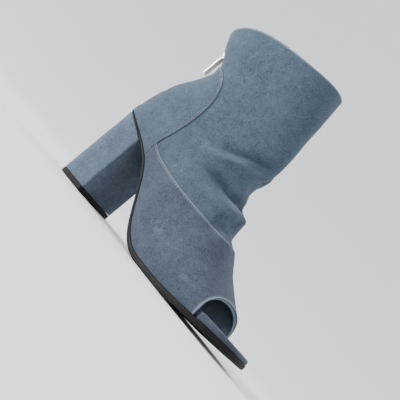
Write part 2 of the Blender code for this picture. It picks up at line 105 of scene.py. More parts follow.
# Outline of the outsole: place along the last, lateral half width, medial half width
OUTLINE = (
    (-0.010, 0.680, 0.680),
    (0.096, 0.685, 0.675),
    (0.200, 0.715, 0.655),
    (0.280, 0.740, 0.620),
    (0.360, 0.765, 0.605),
    (0.440, 0.825, 0.650),
    (0.520, 0.915, 0.775),
    (0.600, 0.990, 0.900),
    (0.680, 1.025, 0.990),
    (0.760, 1.000, 1.025),
    (0.840, 0.925, 1.010),
    (0.940, 0.825, 0.950),
)

# Edge where the upper meets the sole: place along the last, height, sole thickness, footbed thickness
FEATHER = (
    (-0.010, 0.400, 0.0012, 0.0030),
    (0.040, 0.388, 0.0012, 0.0030),
    (0.096, 0.365, 0.0012, 0.0030),
    (0.152, 0.3385, 0.0015, 0.0030),
    (0.200, 0.3125, 0.0024, 0.0030),
    (0.240, 0.2835, 0.0029, 0.0030),
    (0.280, 0.240, 0.0030, 0.0031),
    (0.320, 0.184, 0.0031, 0.0032),
    (0.360, 0.1265, 0.0033, 0.0033),
    (0.400, 0.0775, 0.0035, 0.0034),
    (0.440, 0.045, 0.0039, 0.0036),
    (0.480, 0.028, 0.0043, 0.0038),
    (0.520, 0.023, 0.0046, 0.0041),
    (0.610, 0.023, 0.0046, 0.0048),
    (0.680, 0.029, 0.0047, 0.0057),
    (0.760, 0.0415, 0.0047, 0.0067),
    (0.840, 0.0555, 0.0046, 0.0058),
    (0.944, 0.073, 0.0044, 0.0028),
)

# Upper sections from the toe opening to the collar: dorsal place and height, tail place and height,
# half width, widest share, front power, tail power, lift
SECTIONS = (
    (0.774, 0.173, 0.784, 0.040, 0.950, 0.28, 2.20, 2.0, 0.000),
    (0.712, 0.222, 0.736, 0.031, 0.985, 0.26, 2.20, 2.0, 0.000),
    (0.664, 0.266, 0.684, 0.024, 1.010, 0.22, 2.15, 2.0, 0.000),
    (0.616, 0.328, 0.620, 0.018, 0.985, 0.22, 2.10, 2.0, 0.000),
    (0.574, 0.366, 0.544, 0.016, 0.930, 0.24, 2.10, 2.0, 0.000),
    (0.570, 0.418, 0.468, 0.028, 0.870, 0.26, 2.15, 2.0, 0.000),
    (0.538, 0.478, 0.392, 0.083, 0.830, 0.28, 2.15, 2.0, 0.000),
    (0.506, 0.538, 0.316, 0.185, 0.800, 0.30, 2.15, 2.0, 0.000),
    (0.504, 0.588, 0.244, 0.276, 0.785, 0.31, 2.15, 2.0, 0.000),
    (0.520, 0.636, 0.172, 0.326, 0.780, 0.32, 2.15, 2.0, 0.000),
    (0.522, 0.684, 0.098, 0.364, 0.780, 0.34, 2.15, 2.0, 0.000),
    (0.520, 0.712, 0.026, 0.390, 0.780, 0.36, 2.15, 2.0, 0.000),
    (0.518, 0.734, 0.0008, 0.397, 0.780, 0.37, 2.15, 2.0, 0.000),
    (0.516, 0.752, 0.0008, 0.425, 0.780, 0.37, 2.15, 2.0, 0.000),
    (0.510, 0.790, 0.010, 0.500, 0.775, 0.37, 2.15, 2.0, 0.000),
    (0.502, 0.835, 0.042, 0.590, 0.765, 0.37, 2.15, 2.0, 0.000),
    (0.496, 0.876, 0.082, 0.674, 0.760, 0.38, 2.15, 2.0, 0.000),
    (0.490, 0.920, 0.106, 0.748, 0.775, 0.38, 2.15, 2.1, 0.003),
    (0.482, 0.966, 0.092, 0.802, 0.815, 0.36, 2.20, 2.3, 0.014),
    (0.474, 1.012, 0.060, 0.850, 0.860, 0.33, 2.25, 2.5, 0.030),
    (0.466, 1.060, 0.036, 0.900, 0.900, 0.30, 2.30, 2.6, 0.046),
)

# Seam outlines seen from the side: place along the last, height
VAMP_SEAM = (
    (0.2235, 0.366),
    (0.244, 0.356),
    (0.288, 0.338),
    (0.400, 0.320),
    (0.520, 0.315),
    (0.600, 0.318),
    (0.640, 0.335),
)
COUNTER_SEAM = (
    (0.060, 0.785),
    (0.110, 0.782),
    (0.165, 0.765),
    (0.215, 0.718),
    (0.242, 0.640),
    (0.247, 0.540),
    (0.236, 0.440),
    (0.2205, 0.370),
    (0.2165, 0.240),
)

# Creases of the soft shaft, in millimetres: name, side, width, height, and places in the side view.
# Side -1 is lateral and +1 medial. A positive height is a ridge, a negative one a trough.
CREASES = (
    ("instep_ridge", -1, 3.8, 3.0, ((70, 86), (88, 97), (104, 105), (116, 112), (128, 121))),
    ("above_ridge", -1, 4.0, -3.0, ((84, 102), (97, 109), (108, 115), (118, 121), (127, 127))),
    ("ankle_trough", -1, 4.4, -4.6, ((88, 86), (104, 90), (121, 90), (131, 91), (138, 92))),
    ("vamp_bulge", -1, 4.6, 3.4, ((102, 76), (118, 78), (130, 80), (140, 82), (144, 84))),
    ("seam_fold", -1, 3.0, -1.2, ((128, 66), (140, 68), (150, 69))),
    ("instep_ridge", 1, 5.0, 2.6, ((88, 96), (102, 103), (114, 111), (126, 121))),
    ("above_ridge", 1, 5.0, -2.2, ((92, 108), (104, 114), (116, 121), (123, 127))),
    ("ankle_trough", 1, 5.0, -3.8, ((88, 84), (104, 88), (120, 92), (134, 93))),
    ("vamp_bulge", 1, 5.2, 2.8, ((104, 75), (124, 79), (142, 84))),
    ("heel_fold", 1, 6.0, -1.6, ((70, 92), (86, 92), (98, 95))),
)

# How much red, green and blue each panel's suede gives back: painted light and shade, lighter on the heel
# and darker on the vamp and footbed
PANEL_LIGHT_AND_SHADE = {
    "upper suede": (0.90, 0.93, 0.91),
    "vamp suede": (0.80, 0.75, 0.74),
    "counter suede": (0.92, 0.93, 0.92),
    "heel suede": (1.26, 1.21, 1.19),
    "footbed suede": (0.84, 0.78, 0.77),
}

# Scuffs on the suede, in millimetres: side, place from heel's back and floor, length, height, strength
SCUFFS = (
    (-1, 121, 31, 4, 3, 0.5),
    (-1, 172, 22, 8, 3, 0.12),
    (-1, 92, 102, 12, 3, 0.15),
    (1, 150, 30, 10, 4, 0.3),
    (1, 104, 106, 10, 4, 0.25),
)

# Area lights: name, place, share of the key or fill power, size
LIGHTS = (
    ("key", (-1.20, -1.15, 0.55), "key_power", 1.0, 0.8),
    ("front", (1.40, -0.60, 0.70), "fill_power", 0.5, 1.0),
    ("top", (0.10, 0.45, 1.60), "fill_power", 1.0, 1.5),
)

# The fine surface: rows, columns, layers of the wall, and the smoothing of its directions
ROWS = 171
COLUMNS = 141
SUEDE_LAYER = 0.00095
LAYER_GAP = 0.00005
NORMAL_SMOOTHINGS = 6
SAME_PLACE = 1e-6
SHARP_ANGLE = 40.0
SMALLEST_HALF = 0.0001

# Looking for a place from the side: where the ray starts, how squarely it must meet, and slack at the middle
RAY_FROM = 0.09
FACING = 0.12
MIDDLE_SLACK = 0.001

# Folds: share of their length over which they rise, roundness, rows near the toe where they fade, and the
# scale of the painted highlight and shade on them
EYE_OF_FOLD = 0.60
FOLD_POWER = 1.6
TOE_FADE_ROWS = 12
FOLD_PAINTED_LIGHT_SCALE = 400

# Overlays: height above which an edge is turned down, by how much, and the painted highlight along the cut
OUTER_CORNER = 0.6
CORNER_DROP = 0.45
ON_THE_CUT = 0.00004
CUT_HIGHLIGHT = 0.7
CUT_HIGHLIGHT_WIDTH = 0.0006

# Rounding of the lower and upper edges
OUTSOLE_EDGES = (0.0007, 0.0004)
FOOTBED_EDGES = (0.0006, 0.0016)
HEEL_EDGES = (0.0005, 0.0003)
TOP_PIECE_EDGES = (0.0004, 0.0004)

# Stitches: pitch, thread, the share of the pitch that shows, and the rows' places inside the edges
STITCH_PITCH = 0.0026
STITCH_SHARE = 0.82
THREAD_WIDTH = 0.0005
THREAD_LIFT = 0.15
COUNTER_ROWS = (-0.0018, -0.0043)
VAMP_ROWS = (-0.0019,)
ZIP_ROWS = (2, -3)
ZIP_ROWS_FROM = 2.2
BEAD_SEED = 7
BEAD_UNEVEN = 0.1

# Coil teeth of the zip
COIL_PITCH = 0.0009
COIL_LENGTH = 0.0026
COIL_WIDTH = 0.00075
COIL_UNEVEN = 0.02
COIL_APART = 0.0009
COIL_TILT = 0.25
COIL_DEPTH = 0.72
COIL_MARGIN = 0.0005

# The lining's slanted seam, as heights that rise along the boot, and where the painted light on the lining
# towards the toe opening begins
LINING_SLOPE = 0.45
LINING_SEAM = (0.1365, 0.1385, 0.1395)
LINING_TOE_PAINTED_LIGHT = (0.130, 0.150)

# The photo's camera: place from the heel's back in metres, directions, and the boot's middle in its view
CAMERA_PLACE = (0.486352, -0.651861, 0.028044)
CAMERA_FORWARD = (-0.49297, 0.85348, 0.16897)
CAMERA_RIGHT = (0.61924, 0.20776, 0.75721)
CAMERA_UP = (-0.61116, -0.47792, 0.63093)
BOOT_IN_VIEW = (719.4, -65.5, -49.0)

# Where the lamps point, and the colour of the light from all round
BOOT_MIDDLE = (0.09, 0.0, 0.09)
ROOM_COLOUR = (0.92, 0.95, 1.0, 1.0)

# The floor's bowl: middle, radius of the bend, top and number of sides
FLOOR_MIDDLE = 0.02
FLOOR_BEND = 2.8
FLOOR_TOP = 3.2
FLOOR_SIDES = 96


def smooth(places, values, at):
    """Monotone cubic interpolation through given values."""
    x = np.asarray(places, float)
    y = np.asarray(values, float)
    at = np.clip(np.asarray(at, float), x[0], x[-1])
    step = np.diff(x)
    slope = np.diff(y) / step
    tangent = np.zeros_like(y)
    tangent[0] = slope[0]
    tangent[-1] = slope[-1]
    same = slope[:-1] * slope[1:] > 0
    left = 2 * step[1:] + step[:-1]
    right = step[1:] + 2 * step[:-1]
    safe_low = np.where(same, slope[:-1], 1.0)
    safe_high = np.where(same, slope[1:], 1.0)
    tangent[1:-1] = np.where(same, (left + right) / (left / safe_low + right / safe_high), 0.0)
    cell = np.clip(np.searchsorted(x, at, side="right") - 1, 0, len(step) - 1)
    u = (at - x[cell]) / step[cell]
    keep = y[cell] * (1 + 2 * u) * (1 - u) ** 2 + y[cell + 1] * u ** 2 * (3 - 2 * u)
    turn = tangent[cell] * u * (1 - u) ** 2 - tangent[cell + 1] * u ** 2 * (1 - u)
    return keep + turn * step[cell]


def column(table, index):
    return [row[index] for row in table]


def along_last(table, index, x):
    """A column of a table whose first column is the place along the last."""
    return smooth(column(table, 0), column(table, index), np.asarray(x, float) / LAST_LENGTH)


def at_section(index, k):
    """A column of the upper's sections, at section number k."""
    return smooth(range(len(SECTIONS)), column(SECTIONS, index), k)


def feather_height(x):
    return SHAFT_HEIGHT * along_last(FEATHER, 1, x)


def sole_thickness(x):
    return along_last(FEATHER, 2, x)


def footbed_thickness(x):
    return along_last(FEATHER, 3, x)


def sole_underside(x):
    return feather_height(x) - sole_thickness(x)


def unit(vectors):
    """The same vectors at a length of one."""
    return vectors / np.maximum(np.linalg.norm(vectors, axis=-1, keepdims=True), 1e-12)


def evenly(line, count):
    """The same line through evenly spaced points."""
    length = np.concatenate([[0], np.cumsum(np.linalg.norm(np.diff(line, axis=0), axis=1))])
    even = np.linspace(0, length[-1], count)
    return np.column_stack([np.interp(even, length, line[:, i]) for i in range(line.shape[1])])


def is_closed(grid):
    """For each row of a grid, whether its two ends meet at the back seam."""
    return np.linalg.norm(grid[:, 0] - grid[:, -1], axis=1) < SAME_PLACE


def outline_half(x, side, inset):
    """Half width of the outline at x, for side -1 (lateral) or +1 (medial)."""
    x = np.asarray(x, float)
    index = 1 if side < 0 else 2
    body = HALF_BALL * along_last(OUTLINE, index, x) - inset
    back = np.clip((HEEL_ROUND_TO - x) / (HEEL_ROUND_TO - HEEL_BACK - inset), 0, 1)
    front = np.clip((x - TOE_ROUND_FROM) / (TOE_TIP - inset - TOE_ROUND_FROM), 0, 1)
    return body * np.sqrt(1 - back ** 2) * (1 - front ** TOE_POWER) ** (1 / TOE_POWER)


def section_curve(k, count):
    """Points of upper section k, from the lateral tail over the dorsal line to the medial tail."""
    values = [float(at_section(i, k)) for i in range(len(SECTIONS[0]))]
    dorsal_x, dorsal_z, tail_x, tail_z, half, widest, front_power, tail_power, lift = values
    dorsal = np.array([dorsal_x * LAST_LENGTH, dorsal_z * SHAFT_HEIGHT])
    tail_x *= LAST_LENGTH
    half *= HALF_BALL
    seat = float(feather_height(tail_x)) + GAP
    tail = np.array([tail_x, seat if k <= BACK_SEAM_FROM else max(tail_z * SHAFT_HEIGHT, seat)])
    points = {}
    for side in (-1, 1):
        if k < BACK_SEAM_FROM:
            end = float(outline_half(tail_x, side, SOLE_MARGIN))
        else:
            end = ZIP_SLIT / 2 * min(max((k - ZIP_FROM) / ZIP_OPENS_OVER, 0), 1)
        wide = max(half, end)
        angle = np.linspace(0, math.pi / 2, 60)
        front_q = widest + (1 - widest) * np.cos(angle) ** (2 / front_power)
        front_y = wide * np.sin(angle) ** (2 / front_power)
        open_share = min(end / HEEL_HALF_WIDTH, 1) if k < BACK_SEAM_FROM else 0.0
        closing = tail_power - (tail_power - 1) * open_share
        tail_q = widest - widest * np.sin(angle)
        tail_y = end + (wide - end) * (1 - np.sin(angle) ** tail_power) ** (1 / closing)
        q = np.concatenate([front_q, tail_q[1:]])
        y = side * np.concatenate([front_y, tail_y[1:]])
        share = 1 - q
        flat = tail + np.outer(q, dorsal - tail)
        bump = np.sin(math.pi * np.clip(share, 0, 1) ** COLLAR_PEAK) ** COLLAR_ROUNDNESS
        flat[:, 1] += lift * SHAFT_HEIGHT * bump
        above_seat = (1 - np.exp(-q / SEAT_FADE)) * share ** 2
        flat[:, 1] += SEAT_RISE * max(1 - abs(k - BACK_SEAM_FROM) / 2, 0) * above_seat
        curve = np.column_stack([flat[:, 0], y, flat[:, 1]])
        points[side] = evenly(curve, count // 2 + 1)
    return np.vstack([points[-1][::-1], points[1][1:]])


def section_places(count):
    """Section numbers of the rows, with the heel back and the foot of the zip on rows of their own."""
    seat = BACK_SEAM_FROM - 2
    foot, heel, back = [int(round(count * share)) for share in ROW_SHARES]
    foot = np.linspace(0, seat, foot)
    heel = np.linspace(seat, BACK_SEAM_FROM, heel)[1:]
    back = np.linspace(BACK_SEAM_FROM, ZIP_FROM, back)[1:]
    rest = count - len(foot) - len(heel) - len(back)
    return np.concatenate([foot, heel, back, np.linspace(ZIP_FROM, len(SECTIONS) - 1, rest + 1)[1:]])


def above_sole(points):
    """The same points, none of them lower than the edge of the sole."""
    raised = points.copy()
    raised[..., 2] = np.maximum(points[..., 2], feather_height(points[..., 0]) + GAP)
    return raised


def grid_normals(grid):
    """Outward normals of a grid, level along the sole and alike on both sides of the back seam."""
    a, b = grid[:-1, :-1], grid[:-1, 1:]
    c, d = grid[1:, 1:], grid[1:, :-1]
    first = np.cross(b - a, c - a)
    second = np.cross(c - a, d - a)
    normal = np.zeros_like(grid)
    normal[:-1, :-1] += first + second
    normal[:-1, 1:] += first
    normal[1:, 1:] += first + second
    normal[1:, :-1] += second
    normal = unit(normal)
    for _ in range(NORMAL_SMOOTHINGS):
        wide = np.pad(normal, ((1, 1), (1, 1), (0, 0)), mode="edge")
        around = wide[:-2, 1:-1] + wide[2:, 1:-1] + wide[1:-1, :-2] + wide[1:-1, 2:]
        normal = 0.5 * normal + 0.125 * around
    seat = section_places(len(grid)) <= BACK_SEAM_FROM
    normal[seat, 0, 2] = 0
    normal[seat, -1, 2] = 0
    closed = is_closed(grid)
    back = (normal[closed, 0] + normal[closed, -1]) * (1, 0, 1)
    normal[closed, 0] = back
    normal[closed, -1] = back
    return unit(normal)


def spline(places, count):
    """An even, smooth line through given points."""
    p = np.asarray(places, float)
    wide = np.vstack([2 * p[0] - p[1], p, 2 * p[-1] - p[-2]])
    line = []
    for i in range(len(p) - 1):
        a, b, c, d = wide[i], wide[i + 1], wide[i + 2], wide[i + 3]
        for t in np.linspace(0, 1, 24, endpoint=False):
            line.append(0.5 * (2 * b + (c - a) * t + (2 * a - 5 * b + 4 * c - d) * t ** 2
                               + (3 * b - a - 3 * c + d) * t ** 3))
    line.append(p[-1])
    return evenly(np.array(line), count)


def to_line(points, line):
    """Distance of each point from a line of points, and how far along the line, from 0 to 1."""
    best = np.full(len(points), 1e9)
    share = np.zeros(len(points))
    for i in range(len(line) - 1):
        step = line[i + 1] - line[i]
        t = np.clip((points - line[i]) @ step / max(step @ step, 1e-12), 0, 1)
        away = np.linalg.norm(points - line[i] - t[:, None] * step, axis=1)
        closer = away < best
        best[closer] = away[closer]
        share[closer] = (i + t[closer]) / (len(line) - 1)
    return best, share


def on_side(points, side, x, z):
    """The point of a surface that is nearest to a place in the side view."""
    away = (points[:, 0] - x) ** 2 + (points[:, 2] - z) ** 2
    away = away + np.where(points[:, 1] * side < -MIDDLE_SLACK, 1.0, 0.0)
    return points[int(np.argmin(away))]


def fold_heights(points, size):
    """How far the folds of the shaft move each point out of the surface."""
    heights = np.zeros(len(points))
    for _, side, width, height, places in CREASES:
        spine = [on_side(points, side, x / 1000, z / 1000) for x, z in places]
        away, share = to_line(points, spline(spine, 30))
        start = np.clip(share / EYE_OF_FOLD, 0, 1)
        start = start * start * (3 - 2 * start)
        heights += size * start * height / 1000 * np.exp(-(away / (width / 1000)) ** FOLD_POWER)
    return heights


def boot_surface(fold_size):
    """The grid of the boot's outside with its folds, and the directions out of it."""
    grid = np.array([section_curve(k, COLUMNS) for k in section_places(ROWS)])
    normals = grid_normals(grid)
    heights = fold_heights(grid.reshape(-1, 3), fold_size).reshape(ROWS, COLUMNS)
    edge = np.minimum(np.arange(ROWS), TOE_FADE_ROWS) / TOE_FADE_ROWS
    folded = grid + normals * (heights * edge[:, None])[..., None]
    return folded, grid_normals(folded)


def shell(name, outer, inner):
    """A wall between two grids, closed round all four edges."""
    rows, columns = outer.shape[:2]
    size = rows * columns
    numbers = np.arange(size).reshape(rows, columns)
    low, side = numbers[:-1, :-1].ravel(), numbers[:-1, 1:].ravel()
    far, up = numbers[1:, 1:].ravel(), numbers[1:, :-1].ravel()
    first = np.column_stack([low, side, far])
    second = np.column_stack([low, far, up])
    faces = [tuple(f) for f in np.vstack([first, second])]
    faces += [tuple(f[::-1]) for f in np.vstack([first, second]) + size]
    for i in (0, rows - 1):
        for j in range(columns - 1):
            a, b = numbers[i, j], numbers[i, j + 1]
            faces.append((a, b, b + size, a + size))
    closed = is_closed(outer)
    for i in range(rows - 1):
        if closed[i] and closed[i + 1]:
            continue
        for j in (0, columns - 1):
            a, b = numbers[i, j], numbers[i + 1, j]
            faces.append((a, b, b + size, a + size))
    return mesh_object(name, np.vstack([outer.reshape(-1, 3), inner.reshape(-1, 3)]), faces)


def linked(name, data):
    """A new object of the scene."""
    item = bpy.data.objects.new(name, data)
    bpy.context.scene.collection.objects.link(item)
    return item


def mesh_object(name, points, faces):
    """A closed, welded mesh in the boot's frame, with its faces pointing out."""
    mesh = bpy.data.meshes.new(name)
    work = bmesh.new()
    made = [work.verts.new((p[0] - ORIGIN_X, p[1], p[2])) for p in np.asarray(points, float)]
    for face in faces:
        corners = []
        for i in face:
            if made[i] not in corners:
                corners.append(made[i])
        if len(corners) > 2:
            work.faces.new(corners)
    bmesh.ops.remove_doubles(work, verts=work.verts, dist=SAME_PLACE)
    bmesh.ops.dissolve_degenerate(work, edges=work.edges, dist=1e-7)
    bmesh.ops.recalc_face_normals(work, faces=work.faces)
    work.to_mesh(mesh)
    work.free()
    mesh.shade_smooth()
    mesh.set_sharp_from_angle(angle=math.radians(SHARP_ANGLE))
    return linked(name, mesh)


def vertex_places(item):
    """The vertices of a mesh, in metres from the heel's back."""
    places = np.zeros(len(item.data.vertices) * 3)
    item.data.vertices.foreach_get("co", places)
    return places.reshape(-1, 3) + (ORIGIN_X, 0, 0)


def store(item, name, values):
    """Keeps one number for each vertex, for the materials to read."""
    layer = item.data.attributes.new(name, "FLOAT", "POINT")
    layer.data.foreach_set("value", np.asarray(values, np.float32))


def finish_piece(item, material, nodes=()):
    """Gives a piece its material, makes it ride on the boot, and lets it stand for its frame nodes."""
    item.data.materials.clear()
    item.data.materials.append(material)
    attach(item, BOOT)
    if nodes:
        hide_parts(*nodes)
    return item


def search_tree(points):
    """A tree that finds the nearest of some points."""
    tree = KDTree(len(points))
    for i, point in enumerate(points):
        tree.insert(Vector(point), i)
    tree.balance()
    return tree


def rim_amount(points, surface, width):
    """One at the raw edges of the collar, the zip slit and the toe opening, fading over a width."""
    open_rows = section_places(len(surface)) > ZIP_FROM
    edges = [surface[0], surface[-1], surface[open_rows, 0], surface[open_rows, -1]]
    tree = search_tree(np.vstack(edges))
    away = np.array([tree.find(Vector(p))[2] for p in points])
    return np.exp(-(away / width) ** 2)


def scuff_amount(points):
    """How worn the nap is at each point."""
    worn = np.zeros(len(points))
    for side, x, z, length, height, strength in SCUFFS:
        u = (points[:, 0] * 1000 - x) / length
        v = (points[:, 2] * 1000 - z) / height
        worn += strength * np.exp(-u ** 2 - v ** 2) * (points[:, 1] * side > 0)
    return np.clip(worn, 0, 1)


def cut_to_outline(item, outline):
    """Keeps the part of a layer that is inside an outline seen from the side."""
    count = len(outline)
    points = [(x, y, z) for y in (-2 * HALF_BALL, 2 * HALF_BALL) for x, z in outline]
    faces = [list(range(count)), list(range(count, 2 * count))]
    faces += [[i, (i + 1) % count, (i + 1) % count + count, i + count] for i in range(count)]
    cutter = mesh_object(item.name + "_cutter", points, faces)
    cut = item.modifiers.new("outline", "BOOLEAN")
    cut.operation = "INTERSECT"
    cut.solver = "EXACT"
    cut.object = cutter
    bake_modifiers(item)
    bpy.data.objects.remove(cutter)


def bake_modifiers(item):
    """Turns a piece with its modifiers into a plain mesh."""
    bpy.context.view_layer.update()
    shown = item.evaluated_get(bpy.context.evaluated_depsgraph_get())
    plain = bpy.data.meshes.new_from_object(shown)
    item.modifiers.clear()
    item.data = plain


def lower_edge(item, line, normals_at):
    """Turns down the outer corner of an overlay along its seam, so that the cut edge is soft."""
    places = vertex_places(item)
    away, _ = to_line(places[:, [0, 2]], line)
    for i in np.flatnonzero(away < ON_THE_CUT):
        surface, direction = normals_at(places[i])
        height = (places[i] - surface) @ direction
        if height > OVERLAY_GAP + OVERLAY * OUTER_CORNER:
            item.data.vertices[int(i)].co -= Vector(direction * OVERLAY * CORNER_DROP)


def outline_ring(stations, half, inset):
    """Both sides of an outline, each point moved in by an inset."""
    sides = []
    for side in (-1, 1):
        line = np.array([(x, side * half(x, side)) for x in stations])
        slope = directions_along(line)
        inward = np.column_stack([slope[:, 1], -slope[:, 0]]) * side
        moved = line + inward * inset
        moved[:, 1] = side * np.maximum(moved[:, 1] * side, 0.0)
        sides.append(moved)
    return sides


def slab(name, stations, half, low, high, rounding, columns=9, slant=0.0):
    """A body between two heights with rounded edges, that follows the sole along its length."""
    steps = np.linspace(0, math.pi / 2, 4)
    lower, upper = rounding
    insets = [lower * (1 - math.sin(a)) for a in steps] + [upper * (1 - math.cos(a)) for a in steps]
    rises = [lower * (1 - math.cos(a)) for a in steps] + [-upper * (1 - math.sin(a)) for a in steps]
    points = []
    rings = []
    for k, (inset, rise) in enumerate(zip(insets, rises)):
        sides = outline_ring(stations, half, inset)
        height = low if k < len(steps) else high
        ring = []
        for line in (sides[0], sides[1][::-1]):
            for x, y in line:
                turned = slant * np.clip(x / stations[-1], 0, 1) * y / HEEL_HALF_WIDTH
                ring.append(len(points))
                points.append((x + turned, y, float(height(x)) + rise))
        rings.append(ring)
    faces = []
    size = len(rings[0])
    for first, second in zip(rings, rings[1:]):
        for i in range(size):
            j = (i + 1) % size
            faces.append([first[i], first[j], second[j], second[i]])
    count = len(stations)
    for k, height in ((0, low), (-1, high)):
        rows = []
        for i in range(count):
            a, b = rings[k][i], rings[k][size - 1 - i]
            row = [a]
            for share in np.linspace(0, 1, columns)[1:-1]:
                x, y, z = np.array(points[a]) * (1 - share) + np.array(points[b]) * share
                row.append(len(points))
                points.append((x, y, z))
            rows.append(row + [b])
        for one, two in zip(rows, rows[1:]):
            for j in range(columns - 1):
                faces.append([one[j], one[j + 1], two[j + 1], two[j]])
    return mesh_object(name, points, faces)


def tint(red, green, blue):
    """A linear colour from screen values between 0 and 255."""
    linear = []
    for value in (red, green, blue):
        share = value / 255
        linear.append(share / 12.92 if share <= 0.04045 else ((share + 0.055) / 1.055) ** 2.4)
    return (*linear, 1.0)


class Wire:
    """A socket whose sums and products make Math nodes."""

    def __init__(self, graph, socket):
        self.graph = graph
        self.socket = socket

    def maths(self, operation, first, second):
        return self.graph.node("ShaderNodeMath", {0: first, 1: second}, operation=operation)

    def __add__(self, other):
        return self.maths("ADD", self, other)

    def __radd__(self, other):
        return self.maths("ADD", other, self)

    def __sub__(self, other):
        return self.maths("SUBTRACT", self, other)

    def __rsub__(self, other):
        return self.maths("SUBTRACT", other, self)

    def __mul__(self, other):
        return self.maths("MULTIPLY", self, other)

    def __rmul__(self, other):
        return self.maths("MULTIPLY", other, self)


class Graph:
    """A tree of nodes, to which one method adds any node."""

    def __init__(self, tree):
        self.nodes = tree.nodes
        self.links = tree.links

    def node(self, kind, values, output=0, **options):
        """Adds a node, sets its options, fills its inputs, and returns one of its outputs."""
        made = self.nodes.new(kind)
        for option, value in options.items():
            setattr(made, option, value)
        for key, value in values.items():
            self.feed(made.inputs[key], value)
        return Wire(self, made.outputs[output])

    def feed(self, socket, value):
        if isinstance(value, Wire):
            self.links.new(value.socket, socket)
        else:
            socket.default_value = value


class Finish(Graph):
    """The nodes of one material, around its Principled shader."""

    def __init__(self, name, **constants):
        self.material = bpy.data.materials.new(name)
        self.material.use_nodes = True
        super().__init__(self.material.node_tree)
        self.shader = self.nodes["Principled BSDF"]
        for key, value in constants.items():
            self.shader.inputs[key.replace("_", " ")].default_value = value

    def place(self):
        return self.node("ShaderNodeTexCoord", {}, output="Object")

    def noise(self, place, scale, detail=2.0, roughness=0.5):
        values = {"Vector": place, "Scale": scale, "Detail": detail, "Roughness": roughness}
        return self.node("ShaderNodeTexNoise", values)

    def ramp(self, value, low, high):
        """Zero under low, one over high, and smooth between them."""
        values = {"Value": value, "From Min": low, "From Max": high}
        return self.node("ShaderNodeMapRange", values, interpolation_type="SMOOTHSTEP")

    def attribute(self, name):
        return self.node("ShaderNodeAttribute", {}, output="Fac", attribute_name=name)

    def mix(self, share, first, second):
        values = {0: share, 6: first, 7: second}
        return self.node("ShaderNodeMix", values, output=2, data_type="RGBA", clamp_factor=True)

    def bump(self, height, strength, distance):
        values = {"Height": height, "Strength": strength, "Distance": distance}
        self.finish("Normal", self.node("ShaderNodeBump", values))

    def finish(self, name, value):
        self.feed(self.shader.inputs[name], value)


def suede(name, dark, light, raw):
    """Brushed suede: tone patches, nap strokes, a fine fibre bump, pale raw edges, worn spots, a painted
    highlight along the overlays' seam cuts, and painted highlight on fold ridges and painted shade in fold
    troughs.
    """
    graph = Finish(name, Roughness=0.92, Specular_IOR_Level=0.10, Sheen_Weight=0.16, Sheen_Roughness=0.45,
                   Sheen_Tint=(0.72, 0.82, 1.0, 1.0))
    place = graph.place()
    patches = graph.noise(place, 26.0, 3.0, 0.6)
    strokes = graph.noise(place, 170.0, 4.0, 0.65)
    fibres = graph.noise(place, 900.0, 4.0, 0.7)
    tone = 0.5 + (patches - 0.5) * 0.6 + (strokes - 0.5) * 0.7 + (fibres - 0.5) * 1.7
    colour = graph.mix(tone, dark, light)
    worn = graph.attribute("worn") * graph.ramp(strokes, 0.38, 0.62)
    colour = graph.mix(worn * 0.75, colour, raw)
    folded = graph.attribute("fold_light_and_shade")
    # Painted highlight on the fold ridges and painted shade in the fold troughs
    colour = graph.mix(graph.ramp(folded, 0.1, 1.0) * 0.30, colour, light)
    colour = graph.mix(graph.ramp(folded * -1.0, 0.1, 1.0) * 0.40, colour, dark)
    # Pale raw edges, and on the overlays also a painted highlight along the seam cut
    colour = graph.mix(graph.attribute("rim") * (0.2 + fibres * 0.9), colour, raw)
    graph.finish("Base Color", colour)
    graph.bump(fibres * 0.8 + strokes * 0.7, 0.6, 0.0006)
    return graph.material


def lining_leather(name, pale, deep):
    """Pebbled lining leather, pale round the back of the shaft and darker below its slanted seam, with
    painted light making it paler towards the toe opening.
    """
    graph = Finish(name, Roughness=0.62, Specular_IOR_Level=0.3)
    place = graph.place()
    along = graph.node("ShaderNodeSeparateXYZ", {0: place}, output="X")
    height = graph.node("ShaderNodeSeparateXYZ", {0: place}, output="Z")
    risen = height - along * LINING_SLOPE
    below, middle, above = LINING_SEAM
    upper_part = graph.ramp(risen, middle, above)
    # Painted light: the lining grows paler towards the toe opening, where light comes in
    toe = graph.ramp(along, *LINING_TOE_PAINTED_LIGHT)
    seam = graph.ramp(risen, below, middle) * (1.0 - upper_part)
    pebbles = graph.node("ShaderNodeTexVoronoi", {"Vector": place, "Scale": 750.0}, feature="SMOOTH_F1")
    tone = graph.noise(place, 60.0, 3.0)
    colour = graph.mix(upper_part + toe * 0.8, deep, pale)
    colour = graph.mix(seam * 0.6, colour, deep)
    colour = graph.mix(pebbles * 0.35 + (tone - 0.5) * 0.5, colour, deep)
    graph.finish("Base Color", colour)
    graph.bump(pebbles * -1.0 + upper_part * 2.0, 0.5, 0.0003)
    return graph.material


def rubber(name, colour, scuffed):
    """Black sole rubber, a little greyer where the floor has rubbed it."""
    graph = Finish(name, Specular_IOR_Level=0.18)
    place = graph.place()
    wear = graph.noise(place, 90.0, 4.0, 0.65)
    grit = graph.noise(place, 1500.0, 2.0)
    graph.finish("Base Color", graph.mix(graph.ramp(wear, 0.5, 0.75) * 0.6, colour, scuffed))
    graph.finish("Roughness", 0.5 + wear * 0.3)
    graph.bump(grit * 0.6 + wear, 0.35, 0.0004)
    return graph.material


